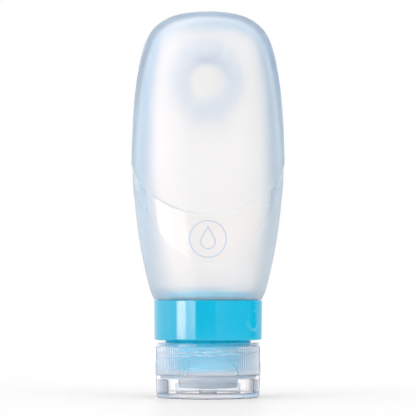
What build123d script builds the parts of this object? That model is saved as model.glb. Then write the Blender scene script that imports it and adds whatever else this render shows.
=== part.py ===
"""Travel squeeze bottle: a soft silicone body on a blue collar and a clear screw cap.

Millimetres, +Z up. The bottle stands upside down on its closed lid, as it is used.
The origin is the centre of the lid's flat face. The front is -Y; the lid's hinge and
the suction cup are at the back, +Y.
"""
import math
import os

from build123d import *

# Driving dimensions: the whole bottle
total_height = 140.0
body_half_width = 27.8
body_wall = 2.6              # front and back, measured from the raised upper surface
side_wall = 4.5              # sides and crown, where the photo shows a wide blue band
step_depth = 0.45            # how far the lower surface is set back
cut_overrun = 2.0            # how far cutting shapes pass the faces that they cut
face_gap = 0.06              # between flat faces that rest on each other
seat_gap = 0.12              # round a piece that is pushed or snapped into its seat

# Driving dimensions: lid
lid_height = 8.1
lid_set_back = 0.1           # how far the lid's rim lies inside the crests of the grip
lid_draft = 0.35             # how much narrower the lid is at its flat face
lid_wall = 0.95
lid_floor = 1.65
lid_corner = 1.0
lid_rim_bevel = 0.3
lid_ring_wall = 0.65
lid_ring_gap = 0.35          # between the lid's ring and the boss inside it
lid_ring_overlap = 1.68      # how far the ring reaches up round the boss
lid_pin_radius = 3.2
lid_pin_gap = 0.3            # between the pin and the valve that it keeps shut
lid_snap_gap = 0.25

# Driving dimensions: cap base
parting_gap = 0.12           # between the lid's rim and the cap's shoulder
cap_wall = 1.9               # from the bore to the bottom of the grip grooves
cap_height = 11.5            # from the shoulder to the upper rim
cap_rim_height = 1.2
cap_rim_set_back = 0.1
cap_bevel = 0.25
grip_rib_height = 0.35
grip_rib_count = 132
spigot_height = 1.35         # the part of the deck that plugs into the lid
snap_bead = 0.12
deck_thickness = 1.7
boss_radius = 10.8
boss_height = 3.4
boss_wall = 1.9
boss_floor = 1.2
boss_bevel = 0.4
spout_radius = 5.2
cap_clocking = 5.5           # degrees that the cap is screwed past the front
recess_half_width = 9.6
recess_height = 6.3
recess_depth = 1.15

# Driving dimensions: screw thread
thread_pitch = 4.2
thread_turns = 1.5
cap_thread_turns = 1.25
thread_height = 0.85
thread_root_width = 1.7
thread_crest_width = 0.9
thread_radial_gap = 0.35
thread_front_height = 14.0   # height at which the neck's ridge crosses the front
thread_sink = 0.2            # how deep a ridge is rooted in its wall

# Driving dimensions: neck insert
neck_radius = 15.4
neck_wall = 1.7
neck_stop_thickness = 1.3
neck_flange_reach = 1.6
neck_flange_thickness = 1.9
barb_height = 0.25
barb_width = 1.2
barb_count = 4

# Driving dimensions: collar
mouth_wall = 2.46            # soft mouth between the insert's sleeve and the collar
foot_set_back = 0.1          # how far the soft body's lower edge lies inside the collar
collar_draft = 0.15
collar_wall = 1.5
collar_lip = 1.3
collar_height = 14.3
collar_gap_to_cap = 1.0
collar_gap_to_body = 0.15
collar_corner = 0.7
collar_top_corner = 0.3
spot_radius = 3.7
spot_height = 0.25
spot_bearing = 56.0          # degrees round from the front, towards +X

# Driving dimensions: gasket, valve and its retainer
gasket_thickness = 0.65
gasket_width = 4.0
valve_flange_thickness = 0.9
valve_skin = 0.6
valve_dome_drop = 1.1
valve_slit_length = 5.0
valve_slit_width = 0.1
retainer_height = 2.2
retainer_bore = 5.6

# Driving dimensions: suction cup and its seat
cup_radius = 14.75
cup_depth = 5.2
cup_lip = 0.9
cup_middle = 1.5             # thickness of the cup over its stem
cup_flat_radius = 5.2        # flat round the stem, on the cup's back
cup_stem_radius = 2.6
cup_stem_length = 2.2
cup_knob_radius = 3.8
cup_knob_length = 2.0
cup_seat_margin = 2.45       # room round the cup in its seat
cup_seat_depth = 2.3
cup_tilt = 8.0               # degrees, so that the cup lies along the sloping back
socket_boss_wall = 4.3
socket_gap = 0.25

# Driving dimensions: film hinge
hinge_offset = 0.45          # how far the hinge line lies outside the lid's rim
hinge_width = 12.0
hinge_film = 0.4
hinge_foot = 1.3

# Soft outline, from the crown down: share of the body's height below the crown,
# share of its half width, share of its half depth
outline_shares = [
    (0.0, 0.0, 0.0),
    (0.0086, 0.354, 0.231),
    (0.022, 0.513, 0.346),
    (0.043, 0.644, 0.446),
    (0.067, 0.734, 0.516),
    (0.101, 0.806, 0.586),
    (0.171, 0.885, 0.682),
    (0.274, 0.948, 0.772),
    (0.379, 0.980, 0.837),
    (0.489, 0.996, 0.882),
    (0.586, 0.998, 0.917),
    (0.689, 0.962, 0.942),
    (0.793, 0.912, 0.962),
    (0.897, 0.835, 0.982),
    (0.966, 0.768, 0.995),
]
crown_flat_share = 0.0015      # where the small flat on the crown is cut
step_low_share = 0.291         # lowest point of the step, as a share of the body's height
step_side_share = 0.466        # where the step meets the sides
step_bow_share = 0.65          # exponent of the step's curve
grip_corner_shares = [0.0, 0.7, 1.3]    # groove and both crests, in halves of a rib
step_point_shares = [-1.0, -0.93, -0.8, -0.6, -0.3, 0.0, 0.3, 0.6, 0.8, 0.93, 1.0]
cavity_start_share = 0.034     # where the hollow takes over from the insert's pocket
wall_taper_share = 4.0         # exponent with which the side wall thins towards the foot
cup_height_share = 0.7701      # middle of the suction cup, as a share of the body's height
cup_back_shares = (0.72, 0.36) # how far out and up the bow of the cup's back passes
cup_face_shares = (0.62, 0.5)  # the same for the bow of its face
slope_step_share = 0.002       # step over which the outline's slope is measured

# Heights and radii that follow from the sizes above
shoulder_height = lid_height + parting_gap
cap_top = shoulder_height + cap_height
thread_crest = neck_radius + thread_height
cap_bore = thread_crest + thread_radial_gap
cap_radius = cap_bore + cap_wall
grip_radius = cap_radius + grip_rib_height
lid_radius = grip_radius - lid_set_back
deck_bottom = shoulder_height - spigot_height
deck_top = deck_bottom + deck_thickness
boss_end = deck_bottom - boss_height
boss_pocket_radius = boss_radius - boss_wall
boss_pocket_floor = boss_end + boss_floor
lid_pin_top = boss_pocket_floor + face_gap - valve_dome_drop - lid_pin_gap
spigot_radius = lid_radius - lid_wall - lid_snap_gap
gasket_bottom = deck_top + face_gap
neck_end = gasket_bottom + gasket_thickness + face_gap
lid_ring_bore = boss_radius + lid_ring_gap
lid_ring_top = boss_end + lid_ring_overlap
neck_bore = neck_radius - neck_wall
mouth_radius = neck_radius + seat_gap
skirt_radius = mouth_radius + mouth_wall
collar_bore = skirt_radius + seat_gap
collar_radius = collar_bore + collar_wall
collar_bottom = cap_top + collar_gap_to_cap
collar_top = collar_bottom + collar_height
body_start = collar_top + collar_gap_to_body
body_height = total_height - body_start
foot_radius = collar_radius + step_depth - foot_set_back
body_half_depth = foot_radius   # the foot is round, and the body is nowhere deeper
stop_bottom = collar_bottom + collar_lip + face_gap
stop_top = stop_bottom + neck_stop_thickness
sleeve_start = stop_top + face_gap
neck_flange_radius = neck_radius + neck_flange_reach
flange_seat = body_start + neck_flange_thickness / 2
flange_bottom = flange_seat + face_gap
flange_top = flange_bottom + neck_flange_thickness
pocket_radius = neck_flange_radius + seat_gap
cavity_start = body_start + cavity_start_share * body_height
cup_height = body_start + cup_height_share * body_height
hinge_height = lid_height + parting_gap / 2
hinge_distance = lid_radius + hinge_offset
cup_seat_radius = cup_radius + cup_seat_margin
socket_boss_radius = cup_knob_radius + socket_boss_wall
section_shares = [crown_flat_share] + [row[0] for row in outline_shares[1:]] + [1.0]
lower_first_row = 7            # the set-back lower surface begins below this row of the outline
halvings = 40                  # steps of a search that halves its range


def through(points, at):
    """Value at a place on the smooth curve through (place, value) points in rising order."""
    last = len(points) - 1
    index = 0
    while index < last - 1 and at > points[index + 1][0]:
        index += 1

    def slope(i):
        low, high = max(i - 1, 0), min(i + 1, last)
        return (points[high][1] - points[low][1]) / (points[high][0] - points[low][0])

    (x0, y0), (x1, y1) = points[index], points[index + 1]
    span = x1 - x0
    t = (at - x0) / span
    rise = y0 * (2 * t**3 - 3 * t**2 + 1) + y1 * (3 * t**2 - 2 * t**3)
    return rise + span * (slope(index) * (t**3 - 2 * t**2 + t) + slope(index + 1) * (t**3 - t**2))


def half_size(drop_share, column):
    """Half width (column 1) or half depth (column 2) at a share of the height below the crown."""
    size = body_half_width if column == 1 else body_half_depth
    points = [(math.sqrt(row[0]), row[column] * size) for row in outline_shares]
    return through([*points, (1, foot_radius)], math.sqrt(drop_share))


def inset_half_size(height, column, inset):
    """Half size at a height once the outline has moved inwards, square to itself."""
    def moved(root):
        share = root * root
        ahead, behind = (root + slope_step_share) ** 2, max(root - slope_step_share, 0) ** 2
        run = half_size(min(ahead, 1), column) - half_size(behind, column)
        fall = (min(ahead, 1) - behind) * body_height
        length = math.hypot(run, fall)
        place = half_size(share, column) - inset * fall / length
        return place, total_height - share * body_height - inset * run / length

    low, high = 0.0, 1.0
    for _ in range(halvings):
        middle = (low + high) / 2
        if moved(middle)[1] > height:
            low = middle
        else:
            high = middle
    return moved((low + high) / 2)[0]


def oval(height, half_width, half_depth):
    """Oval section of the soft body, lying flat at a height."""
    turned = half_depth > half_width
    wide, deep = (half_depth, half_width) if turned else (half_width, half_depth)
    return Plane.XY.offset(height) * Rot(0, 0, 90 if turned else 0) * Ellipse(wide, deep)


def soft_loft(shares, set_back):
    """Outer form of the soft body through its oval sections."""
    sections = []
    for share in reversed(shares):
        height = total_height - share * body_height
        sections.append(oval(height, half_size(share, 1) - set_back, half_size(share, 2) - set_back))
    return loft(sections)


def disc(radius, low, high):
    """Upright cylinder between two heights."""
    return Pos(0, 0, low) * Cylinder(radius, high - low, align=(Align.CENTER, Align.CENTER, Align.MIN))


def tube(outer, inner, low, high):
    """Upright ring between two heights."""
    return disc(outer, low, high) - disc(inner, low - cut_overrun, high + cut_overrun)


def turned_piece(points):
    """Solid of revolution about Z from (radius, height) points."""
    return revolve(make_face(Polyline(*[(r, 0, z) for r, z in points], close=True)), Axis.Z)


def step_height(across):
    """Height of the step's curve at a share of the half width."""
    side = body_start + step_side_share * body_height
    low = body_start + step_low_share * body_height
    return side - (side - low) * (1 - across * across) ** step_bow_share


def above_step():
    """Everything above the step's curve, seen square from the front."""
    half_span = body_half_width - step_depth / 2
    points = [(share * half_span, 0, step_height(share)) for share in step_point_shares]
    reach = body_half_width + cut_overrun
    top = total_height + cut_overrun
    side = step_height(1)
    curve = Spline(*points)
    rest = Polyline(points[-1], (reach, 0, side), (reach, 0, top), (-reach, 0, top),
                    (-reach, 0, side), points[0])
    face = make_face([*curve.edges(), *rest.edges()])
    return extrude(face, body_half_depth + cut_overrun, both=True)


def cup_plane():
    """Frame of the suction cup: origin on the floor of its seat, +Z out of the back."""
    lean = math.radians(cup_tilt)
    surface = half_size((total_height - cup_height) / body_height, 2)
    outwards = (0, math.cos(lean), math.sin(lean))
    return Plane(origin=(0, surface - cup_seat_depth, cup_height), x_dir=(1, 0, 0), z_dir=outwards)


def ridge(radius, outwards, turns, front_height):
    """Helical ridge on a cylindrical wall; it crosses the front at front_height."""
    reach = thread_height if outwards else -thread_height
    root = radius - thread_sink if outwards else radius + thread_sink
    path = Helix(thread_pitch, turns * thread_pitch, radius)
    start = path @ 0
    section = Plane(origin=start, x_dir=(1, 0, 0), z_dir=path % 0)
    half_root, half_crest = thread_root_width / 2, thread_crest_width / 2
    half_foot = half_root + thread_sink * (half_root - half_crest) / thread_height
    outline = Polyline((root - radius, -half_foot), (reach, -half_crest),
                       (reach, half_crest), (root - radius, half_foot), close=True)
    ridge_solid = sweep(section * make_face(outline), path, is_frenet=True)
    half_rise = turns * thread_pitch / 2
    return Pos(0, 0, front_height - half_rise) * Rot(0, 0, -90 - turns * 180) * ridge_solid


def bottle_body():
    """Soft silicone body with its mouth, hollow, cup seat and stem socket."""
    upper = soft_loft(section_shares, 0)
    lower_start = outline_shares[lower_first_row][0]
    lower = soft_loft([s for s in section_shares if s > lower_start], step_depth)
    outer = (upper & above_step()) + lower
    outer += disc(skirt_radius, sleeve_start, body_start + body_wall)

    hollow_top = total_height - side_wall
    hollow_height = hollow_top - cavity_start
    sections = []
    for share in reversed(section_shares):
        height = hollow_top - share * hollow_height
        extra_wall = (side_wall - body_wall) * (1 - share ** wall_taper_share)
        wide = inset_half_size(height, 1, body_wall + extra_wall)
        deep = inset_half_size(height + extra_wall, 2, body_wall)
        sections.append(oval(height, wide, deep))
    hollow = loft(sections)
    seat = cup_plane()
    reach = body_half_depth
    seat_wall = seat.offset(-body_wall) * Cylinder(
        cup_seat_radius + body_wall, reach, align=(Align.CENTER, Align.CENTER, Align.MIN))
    socket_depth = cup_stem_length + cup_knob_length + socket_gap
    socket_boss = seat.offset(-socket_depth - body_wall) * Cylinder(
        socket_boss_radius, reach, align=(Align.CENTER, Align.CENTER, Align.MIN))
    hollow = hollow - seat_wall - socket_boss

    body = outer - hollow
    body -= disc(pocket_radius, flange_seat, cavity_start + step_depth)
    body -= disc(mouth_radius, sleeve_start - cut_overrun, flange_seat + step_depth)
    body -= seat * Cylinder(cup_seat_radius, reach, align=(Align.CENTER, Align.CENTER, Align.MIN))
    body -= seat.offset(-socket_depth) * Cylinder(
        cup_stem_radius + seat_gap, reach, align=(Align.CENTER, Align.CENTER, Align.MIN))
    body -= seat.offset(-socket_depth) * Cylinder(
        cup_knob_radius + seat_gap, cup_knob_length + 2 * socket_gap,
        align=(Align.CENTER, Align.CENTER, Align.MIN))
    for index in range(barb_count):
        height = barb_height_at(index)
        body -= tube(neck_radius + barb_height + seat_gap, neck_radius - cut_overrun,
                     height - seat_gap, height + barb_width + seat_gap)
    return body


def barb_height_at(index):
    """Lower edge of a gripping barb on the insert's sleeve."""
    room = flange_seat - sleeve_start
    return sleeve_start + room * (index + 1) / (barb_count + 1)


def neck_insert():
    """Rigid threaded neck; its sleeve, stop and flange hold the soft mouth."""
    insert = disc(neck_radius, neck_end, flange_top)
    insert += disc(skirt_radius, stop_bottom, stop_top)
    insert += disc(neck_flange_radius, flange_bottom, flange_top)
    for index in range(barb_count):
        low = barb_height_at(index)
        insert += turned_piece([(0, low), (neck_radius + barb_height, low),
                                (neck_radius, low + barb_width), (0, low + barb_width)])
    insert -= disc(neck_bore, neck_end - cut_overrun, flange_top + cut_overrun)
    insert += ridge(neck_radius, True, thread_turns, thread_front_height)
    return insert


def outer_circles(solid, radius, height):
    """Round edges of a turned solid at one height and outside a radius."""
    return [edge for edge in solid.edges().filter_by(GeomType.CIRCLE)
            if edge.radius > radius and abs(edge.center().Z - height) < face_gap]


def collar_ring():
    """Glossy retaining collar with a plain round spot on its side."""
    lip_top = collar_bottom + collar_lip
    ring = turned_piece([
        (mouth_radius, collar_bottom), (collar_radius - collar_draft, collar_bottom),
        (collar_radius, collar_top), (collar_bore, collar_top),
        (collar_bore, lip_top), (mouth_radius, lip_top)])
    ring = fillet(outer_circles(ring, collar_bore, collar_bottom), collar_corner)
    ring = fillet(outer_circles(ring, collar_radius - collar_draft, collar_top), collar_top_corner)
    middle = (collar_bottom + collar_top) / 2
    bearing = math.radians(spot_bearing)
    outwards = (math.sin(bearing), -math.cos(bearing), 0)
    spot_frame = Plane(origin=(0, 0, middle), x_dir=(0, 0, 1), z_dir=outwards)
    spot = spot_frame.offset(collar_bore + collar_wall / 2) * Cylinder(
        spot_radius, collar_wall, align=(Align.CENTER, Align.CENTER, Align.MIN))
    skin = disc(collar_radius - collar_draft / 2 + spot_height, collar_bottom, collar_top)
    return ring + (spot & skin)


def toothed_wall(low, high):
    """Outer wall with fine vertical grip ribs."""
    points = []
    half_rib = math.pi / grip_rib_count
    corners = list(zip(grip_corner_shares, (cap_radius, grip_radius, grip_radius)))
    for index in range(grip_rib_count):
        for corner_share, radius in corners:
            angle = (2 * index + corner_share) * half_rib
            points.append((radius * math.cos(angle), radius * math.sin(angle), low))
    face = make_face(Polyline(*points, close=True))
    return extrude(face, high - low)


def thumb_recess():
    """Cutter for the arched thumb recess in the grip wall, on the front."""
    reach = grip_radius + cut_overrun
    deepest = grip_radius - recess_depth
    floor = turned_piece([
        (deepest, shoulder_height - cut_overrun), (reach, shoulder_height - cut_overrun),
        (reach, shoulder_height + recess_height), (cap_radius, shoulder_height + recess_height),
        (deepest, shoulder_height)])
    arch = Plane.XZ * Pos(0, shoulder_height) * Ellipse(recess_half_width, recess_height)
    return floor & extrude(arch, reach)


def cap_base():
    """Clear screw cap: grip wall, thread, deck with its plug, and the spout boss."""
    ribs_top = cap_top - cap_rim_height
    cap = turned_piece([
        (0, deck_bottom), (spigot_radius, deck_bottom), (spigot_radius, shoulder_height),
        (cap_radius - cap_bevel, shoulder_height), (cap_radius, shoulder_height + cap_bevel),
        (cap_radius - cap_rim_set_back, ribs_top), (cap_radius - cap_rim_set_back, cap_top - cap_bevel),
        (cap_radius - cap_rim_set_back - cap_bevel, cap_top), (0, cap_top)])
    cap += toothed_wall(shoulder_height + cap_bevel, ribs_top)
    cap -= thumb_recess()
    bead_middle = (deck_bottom + shoulder_height) / 2
    cap += turned_piece([
        (0, bead_middle - 2 * snap_bead), (spigot_radius, bead_middle - 2 * snap_bead),
        (spigot_radius + snap_bead, bead_middle), (spigot_radius, bead_middle + 2 * snap_bead),
        (0, bead_middle + 2 * snap_bead)])
    cap += turned_piece([
        (0, boss_end), (boss_radius - boss_bevel, boss_end), (boss_radius, boss_end + boss_bevel),
        (boss_radius, deck_bottom + cap_bevel), (0, deck_bottom + cap_bevel)])
    cap -= disc(cap_bore, deck_top, cap_top + cut_overrun)
    cap -= disc(boss_pocket_radius, boss_pocket_floor, deck_top + cut_overrun)
    cap -= disc(spout_radius, boss_end - cut_overrun, deck_top)
    cap += ridge(cap_bore, False, cap_thread_turns, thread_front_height + thread_pitch / 2)
    return cap


def flip_lid():
    """Clear flip lid: drafted cup with a flat face, a ring round the boss and a centre pin."""
    foot = lid_radius - lid_draft
    shell = turned_piece([
        (0, 0), (foot, 0), (lid_radius, lid_height - lid_rim_bevel),
        (lid_radius - lid_rim_bevel, lid_height), (lid_radius - lid_wall, lid_height),
        (foot - lid_wall, lid_floor), (0, lid_floor)])
    shell = fillet(outer_circles(shell, foot - lid_wall, 0), lid_corner)
    shell += tube(lid_ring_bore + lid_ring_wall, lid_ring_bore, lid_floor - face_gap, lid_ring_top)
    shell += disc(lid_pin_radius, lid_floor - face_gap, lid_pin_top)
    return shell


def hinge_web():
    """Thin film of the flip lid's hinge, folded round the hinge line at the back."""
    rear = grip_radius
    outer = hinge_distance + hinge_offset
    low, high = hinge_height - hinge_foot, hinge_height + hinge_foot
    wall = make_face(Polyline(
        (0, rear + face_gap, high), (0, rear + hinge_film, high),
        (0, outer, hinge_height + hinge_film), (0, outer, hinge_height - hinge_film),
        (0, rear + hinge_film, low), (0, lid_radius + face_gap, low),
        (0, outer - hinge_film, hinge_height), close=True))
    return extrude(wall, hinge_width / 2, both=True)


def cap_gasket():
    """Flat sealing ring between the deck and the end of the neck."""
    outer = cap_bore - seat_gap
    return tube(outer, outer - gasket_width, gasket_bottom, gasket_bottom + gasket_thickness)


def slit_valve():
    """Soft valve: a flange and a dished skin, cut with a cross."""
    low = boss_pocket_floor + face_gap
    flange = tube(boss_pocket_radius - seat_gap, spout_radius - valve_skin, low,
                  low + valve_flange_thickness)
    dish_radius = spout_radius - seat_gap
    sphere = (dish_radius**2 + valve_dome_drop**2) / (2 * valve_dome_drop)
    centre = low - valve_dome_drop + sphere
    dish = Pos(0, 0, centre) * (Sphere(sphere) - Sphere(sphere - valve_skin))
    valve = flange + (dish & disc(dish_radius, low - valve_dome_drop, low + valve_flange_thickness))
    for turn in (0, 90):
        valve -= Rot(0, 0, turn) * Pos(0, 0, low) * Box(
            valve_slit_length, valve_slit_width, 2 * (valve_dome_drop + valve_flange_thickness))
    return valve


def valve_retainer():
    """Snap ring that holds the valve's flange in the boss."""
    low = boss_pocket_floor + valve_flange_thickness + 2 * face_gap
    return tube(boss_pocket_radius - seat_gap, retainer_bore, low, low + retainer_height)


def suction_cup():
    """Soft suction cup with a stem and knob that plug into the back of the body."""
    start = cup_stem_length - seat_gap
    half = cup_lip / 2
    back_out, back_up = cup_back_shares
    face_out, face_up = cup_face_shares
    profile = make_face([
        *Polyline((0, 0, -start - cup_knob_length), (cup_knob_radius - half, 0, -start - cup_knob_length),
                  (cup_knob_radius, 0, -start - cup_knob_length + half), (cup_knob_radius, 0, -start),
                  (cup_stem_radius, 0, -start), (cup_stem_radius, 0, face_gap),
                  (cup_flat_radius, 0, face_gap)).edges(),
        ThreePointArc((cup_flat_radius, 0, face_gap),
                      (back_out * cup_radius, 0, back_up * cup_depth),
                      (cup_radius, 0, cup_depth - half)),
        *Polyline((cup_radius, 0, cup_depth - half), (cup_radius, 0, cup_depth),
                  (cup_radius - cup_lip, 0, cup_depth)).edges(),
        ThreePointArc((cup_radius - cup_lip, 0, cup_depth),
                      (face_out * cup_radius, 0, face_up * cup_depth),
                      (cup_stem_radius, 0, cup_middle)),
        *Polyline((cup_stem_radius, 0, cup_middle), (0, 0, cup_middle),
                  (0, 0, -start - cup_knob_length)).edges(),
    ])
    return cup_plane() * revolve(profile, Axis.Z)


turn_cap = Rot(0, 0, cap_clocking)
pieces = {
    "bottle_body": bottle_body(),
    "neck_insert": neck_insert(),
    "collar_ring": collar_ring(),
    "suction_cup": suction_cup(),
    "cap_base": turn_cap * cap_base(),
    "cap_gasket": turn_cap * cap_gasket(),
    "slit_valve": turn_cap * slit_valve(),
    "valve_retainer": turn_cap * valve_retainer(),
    "flip_lid": turn_cap * flip_lid(),
    "hinge_web": turn_cap * hinge_web(),
}
os.makedirs("parts", exist_ok=True)
for name, piece in pieces.items():
    export_step(piece, f"parts/{name}.step")
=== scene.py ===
"""Looks of a travel squeeze bottle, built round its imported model.

Metres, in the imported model's frame: +Z up, the front is -Y, and the bottle stands
upside down on its closed lid, with the hinge and the suction cup at the back.
"""
import math

import bmesh
import bpy
from mathutils import Matrix, Vector


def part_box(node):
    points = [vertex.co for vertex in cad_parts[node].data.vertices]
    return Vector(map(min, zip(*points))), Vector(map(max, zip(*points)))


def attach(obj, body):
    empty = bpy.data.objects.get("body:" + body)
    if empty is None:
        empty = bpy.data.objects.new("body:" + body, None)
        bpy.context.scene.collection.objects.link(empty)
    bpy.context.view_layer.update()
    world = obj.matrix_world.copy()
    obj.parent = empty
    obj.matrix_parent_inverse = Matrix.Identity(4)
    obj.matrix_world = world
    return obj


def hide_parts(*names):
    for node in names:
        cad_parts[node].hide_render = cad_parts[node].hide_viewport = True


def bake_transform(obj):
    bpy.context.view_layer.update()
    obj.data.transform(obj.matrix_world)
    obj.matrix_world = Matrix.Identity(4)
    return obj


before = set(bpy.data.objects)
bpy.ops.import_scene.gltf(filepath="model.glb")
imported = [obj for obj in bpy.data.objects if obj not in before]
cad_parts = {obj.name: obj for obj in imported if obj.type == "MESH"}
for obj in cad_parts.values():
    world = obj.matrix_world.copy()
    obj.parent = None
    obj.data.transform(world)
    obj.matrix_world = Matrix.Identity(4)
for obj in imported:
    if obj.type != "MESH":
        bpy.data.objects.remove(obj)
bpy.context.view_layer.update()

MM = 0.001
full_turn = 2 * math.pi
front = -math.pi / 2

# Innermost ring of a profile that ends on the axis
middle_radius = 0.4 * MM

# Roundings and chamfers of edges
hair_edge = 0.05 * MM
thin_edge = 0.1 * MM
fine_edge = 0.12 * MM
small_edge = 0.15 * MM
plain_edge = 0.2 * MM
wide_edge = 0.3 * MM

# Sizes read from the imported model
body_low, body_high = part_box("bottle_body")
neck_low, neck_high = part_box("neck_insert")
collar_low, collar_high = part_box("collar_ring")
cap_low, cap_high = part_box("cap_base")
_, lid_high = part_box("flip_lid")
gasket_low, gasket_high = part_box("cap_gasket")
valve_low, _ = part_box("slit_valve")
retainer_low, retainer_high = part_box("valve_retainer")

# Soft body
body_top = body_high.z
body_half_width = body_high.x
collar_gap = 0.15 * MM
body_start = collar_high.z + collar_gap
body_height = body_top - body_start
body_wall = 2.6 * MM
side_wall = 4.5 * MM
step_depth = 0.45 * MM
step_width = 0.5 * MM
foot_radius = 19.5 * MM
raised_foot_radius = foot_radius + step_depth
foot_round = 0.5 * MM
skirt_radius = 17.98 * MM
mouth_radius = 15.52 * MM
pocket_radius = 17.12 * MM
flange_seat = 36.12 * MM
cavity_start = 38.73 * MM
cavity_chamfer = 0.6 * MM
body_columns = 240
upper_rows = 84
lower_rows = 46
hollow_rows = 112

# Share of the body's height below the crown, of its half width and of its half depth
outline_shares = [
    (0.0, 0.0, 0.0),
    (0.0086, 0.354, 0.231),
    (0.022, 0.513, 0.346),
    (0.043, 0.644, 0.446),
    (0.067, 0.734, 0.516),
    (0.101, 0.806, 0.586),
    (0.171, 0.885, 0.682),
    (0.274, 0.948, 0.772),
    (0.379, 0.980, 0.837),
    (0.489, 0.996, 0.882),
    (0.586, 0.998, 0.917),
    (0.689, 0.962, 0.942),
    (0.793, 0.912, 0.962),
    (0.897, 0.835, 0.982),
    (0.966, 0.768, 0.995),
]
step_side = body_start + 0.466 * body_height
step_low = body_start + 0.291 * body_height
step_bow = 0.65
gloss_low = 48.5 * MM
gloss_bow = 0.735

# Suction cup and its seat
cup_height = 115.9 * MM
cup_radius = 14.75 * MM
cup_depth = 5.2 * MM
cup_lip = 0.9 * MM
cup_middle = 1.5 * MM
cup_stem_radius = 2.6 * MM
cup_stem_length = 2.2 * MM
cup_knob_radius = 3.8 * MM
cup_knob_length = 2.0 * MM
cup_seat_radius = 17.2 * MM
cup_seat_depth = 2.3 * MM
cup_tilt = math.radians(8)
socket_depth = 4.45 * MM
hollow_boss_radius = 8.7 * MM
cup_seat_softness = 0.8 * MM
hollow_seat_softness = 2 * MM
hollow_boss_softness = 2.4 * MM

# Neck, cap and lid
neck_radius = 15.4 * MM
neck_bore = 13.7 * MM
stop_low = 22.08 * MM
stop_high = 23.38 * MM
stop_radius = skirt_radius
flange_low = 36.18 * MM
flange_radius = 17.0 * MM
thread_pitch = 4.2 * MM
thread_height = 0.85 * MM
thread_root_half = 0.85 * MM
thread_crest_half = 0.45 * MM
neck_thread_height = 14.0 * MM
neck_thread_turns = 1.5
cap_thread_turns = 1.25
cap_clocking = math.radians(5.5)
collar_radius = 19.6 * MM
collar_draft = 0.15 * MM
collar_bore = 18.1 * MM
collar_lip = 1.3 * MM
spot_radius = 3.7 * MM
spot_height = 0.25 * MM
spot_bearing = math.radians(56)
shoulder = 8.22 * MM
cap_top = cap_high.z
cap_bore = 16.6 * MM
cap_radius = 18.5 * MM
grip_rib_height = 0.35 * MM
grip_radius = cap_radius + grip_rib_height
grip_rib_count = 132
cap_rim_height = 1.2 * MM
cap_rim_set_back = 0.1 * MM
cap_bevel = 0.25 * MM
recess_half_width = 9.6 * MM
recess_height = 6.3 * MM
recess_depth = 1.15 * MM
deck_low = 6.87 * MM
deck_high = 8.57 * MM
spigot_radius = 17.55 * MM
snap_bead = 0.12 * MM
boss_radius = 10.8 * MM
boss_low = cap_low.z
boss_pocket_radius = 8.9 * MM
boss_pocket_floor = 4.67 * MM
spout_radius = 5.2 * MM
lid_radius = 18.75 * MM
lid_foot_radius = 18.4 * MM
lid_height = lid_high.z
lid_wall = 0.95 * MM
lid_floor = 1.65 * MM
lid_corner = 1.0 * MM
lid_pad_distance = 14.9 * MM
lid_pad_top = deck_low - 0.45 * MM
lid_ring_bore = 11.15 * MM
lid_ring_outer = 11.8 * MM
lid_ring_top = 5.15 * MM
lid_pin_radius = 3.2 * MM
lid_pin_top = 3.33 * MM
hinge_height = 8.16 * MM
hinge_distance = lid_radius + 0.45 * MM


def through(points, at):
    """Value at a place on the smooth curve through (place, value) points in rising order."""
    last = len(points) - 1
    index = 0
    while index < last - 1 and at > points[index + 1][0]:
        index += 1

    def slope(i):
        low, high = max(i - 1, 0), min(i + 1, last)
        return (points[high][1] - points[low][1]) / (points[high][0] - points[low][0])

    (x0, y0), (x1, y1) = points[index], points[index + 1]
    span = x1 - x0
    t = (at - x0) / span
    rise = y0 * (2 * t**3 - 3 * t**2 + 1) + y1 * (3 * t**2 - 2 * t**3)
    return rise + span * (slope(index) * (t**3 - 2 * t**2 + t) + slope(index + 1) * (t**3 - t**2))


width_points = [(math.sqrt(row[0]), row[1] * body_half_width) for row in outline_shares]
width_points.append((1, raised_foot_radius))
depth_points = [(math.sqrt(row[0]), row[2] * raised_foot_radius) for row in outline_shares]
depth_points.append((1, raised_foot_radius))


def half_sizes(height):
    """Half width and half depth of the raised outline at a height."""
    root = math.sqrt(min(max((body_top - height) / body_height, 0), 1))
    return through(width_points, root), through(depth_points, root)


def inset_size(points, height, inset):
    """Half size at a height once an outline has moved inwards, square to itself."""
    nudge = 0.002

    def moved(root):
        ahead, behind = min(root + nudge, 1), max(root - nudge, 0)
        run = through(points, ahead) - through(points, behind)
        fall = (ahead**2 - behind**2) * body_height
        length = math.hypot(run, fall)
        return (through(points, root) - inset * fall / length,
                body_top - root * root * body_height - inset * run / length)

    low, high = 0.0, 1.0
    for _ in range(40):
        middle = (low + high) / 2
        if moved(middle)[1] > height:
            low = middle
        else:
            high = middle
    return max(moved((low + high) / 2)[0], 0)


def smooth(value, low, high):
    """0 below low, 1 above high, and a smooth rise between them."""
    t = min(max((value - low) / (high - low), 0), 1)
    return t * t * (3 - 2 * t)


def placed(name, data):
    """Object in the scene for a mesh, a curve, a lamp or a camera."""
    piece = bpy.data.objects.new(name, data)
    bpy.context.scene.collection.objects.link(piece)
    return piece


def as_mesh(name, shaped):
    """Mesh of a finished shape."""
    mesh = bpy.data.meshes.new(name)
    shaped.to_mesh(mesh)
    shaped.free()
    return mesh


def evaluated(piece):
    """Mesh that a piece's modifiers or its curve make."""
    graph = bpy.context.evaluated_depsgraph_get()
    return bpy.data.meshes.new_from_object(piece.evaluated_get(graph))


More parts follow.
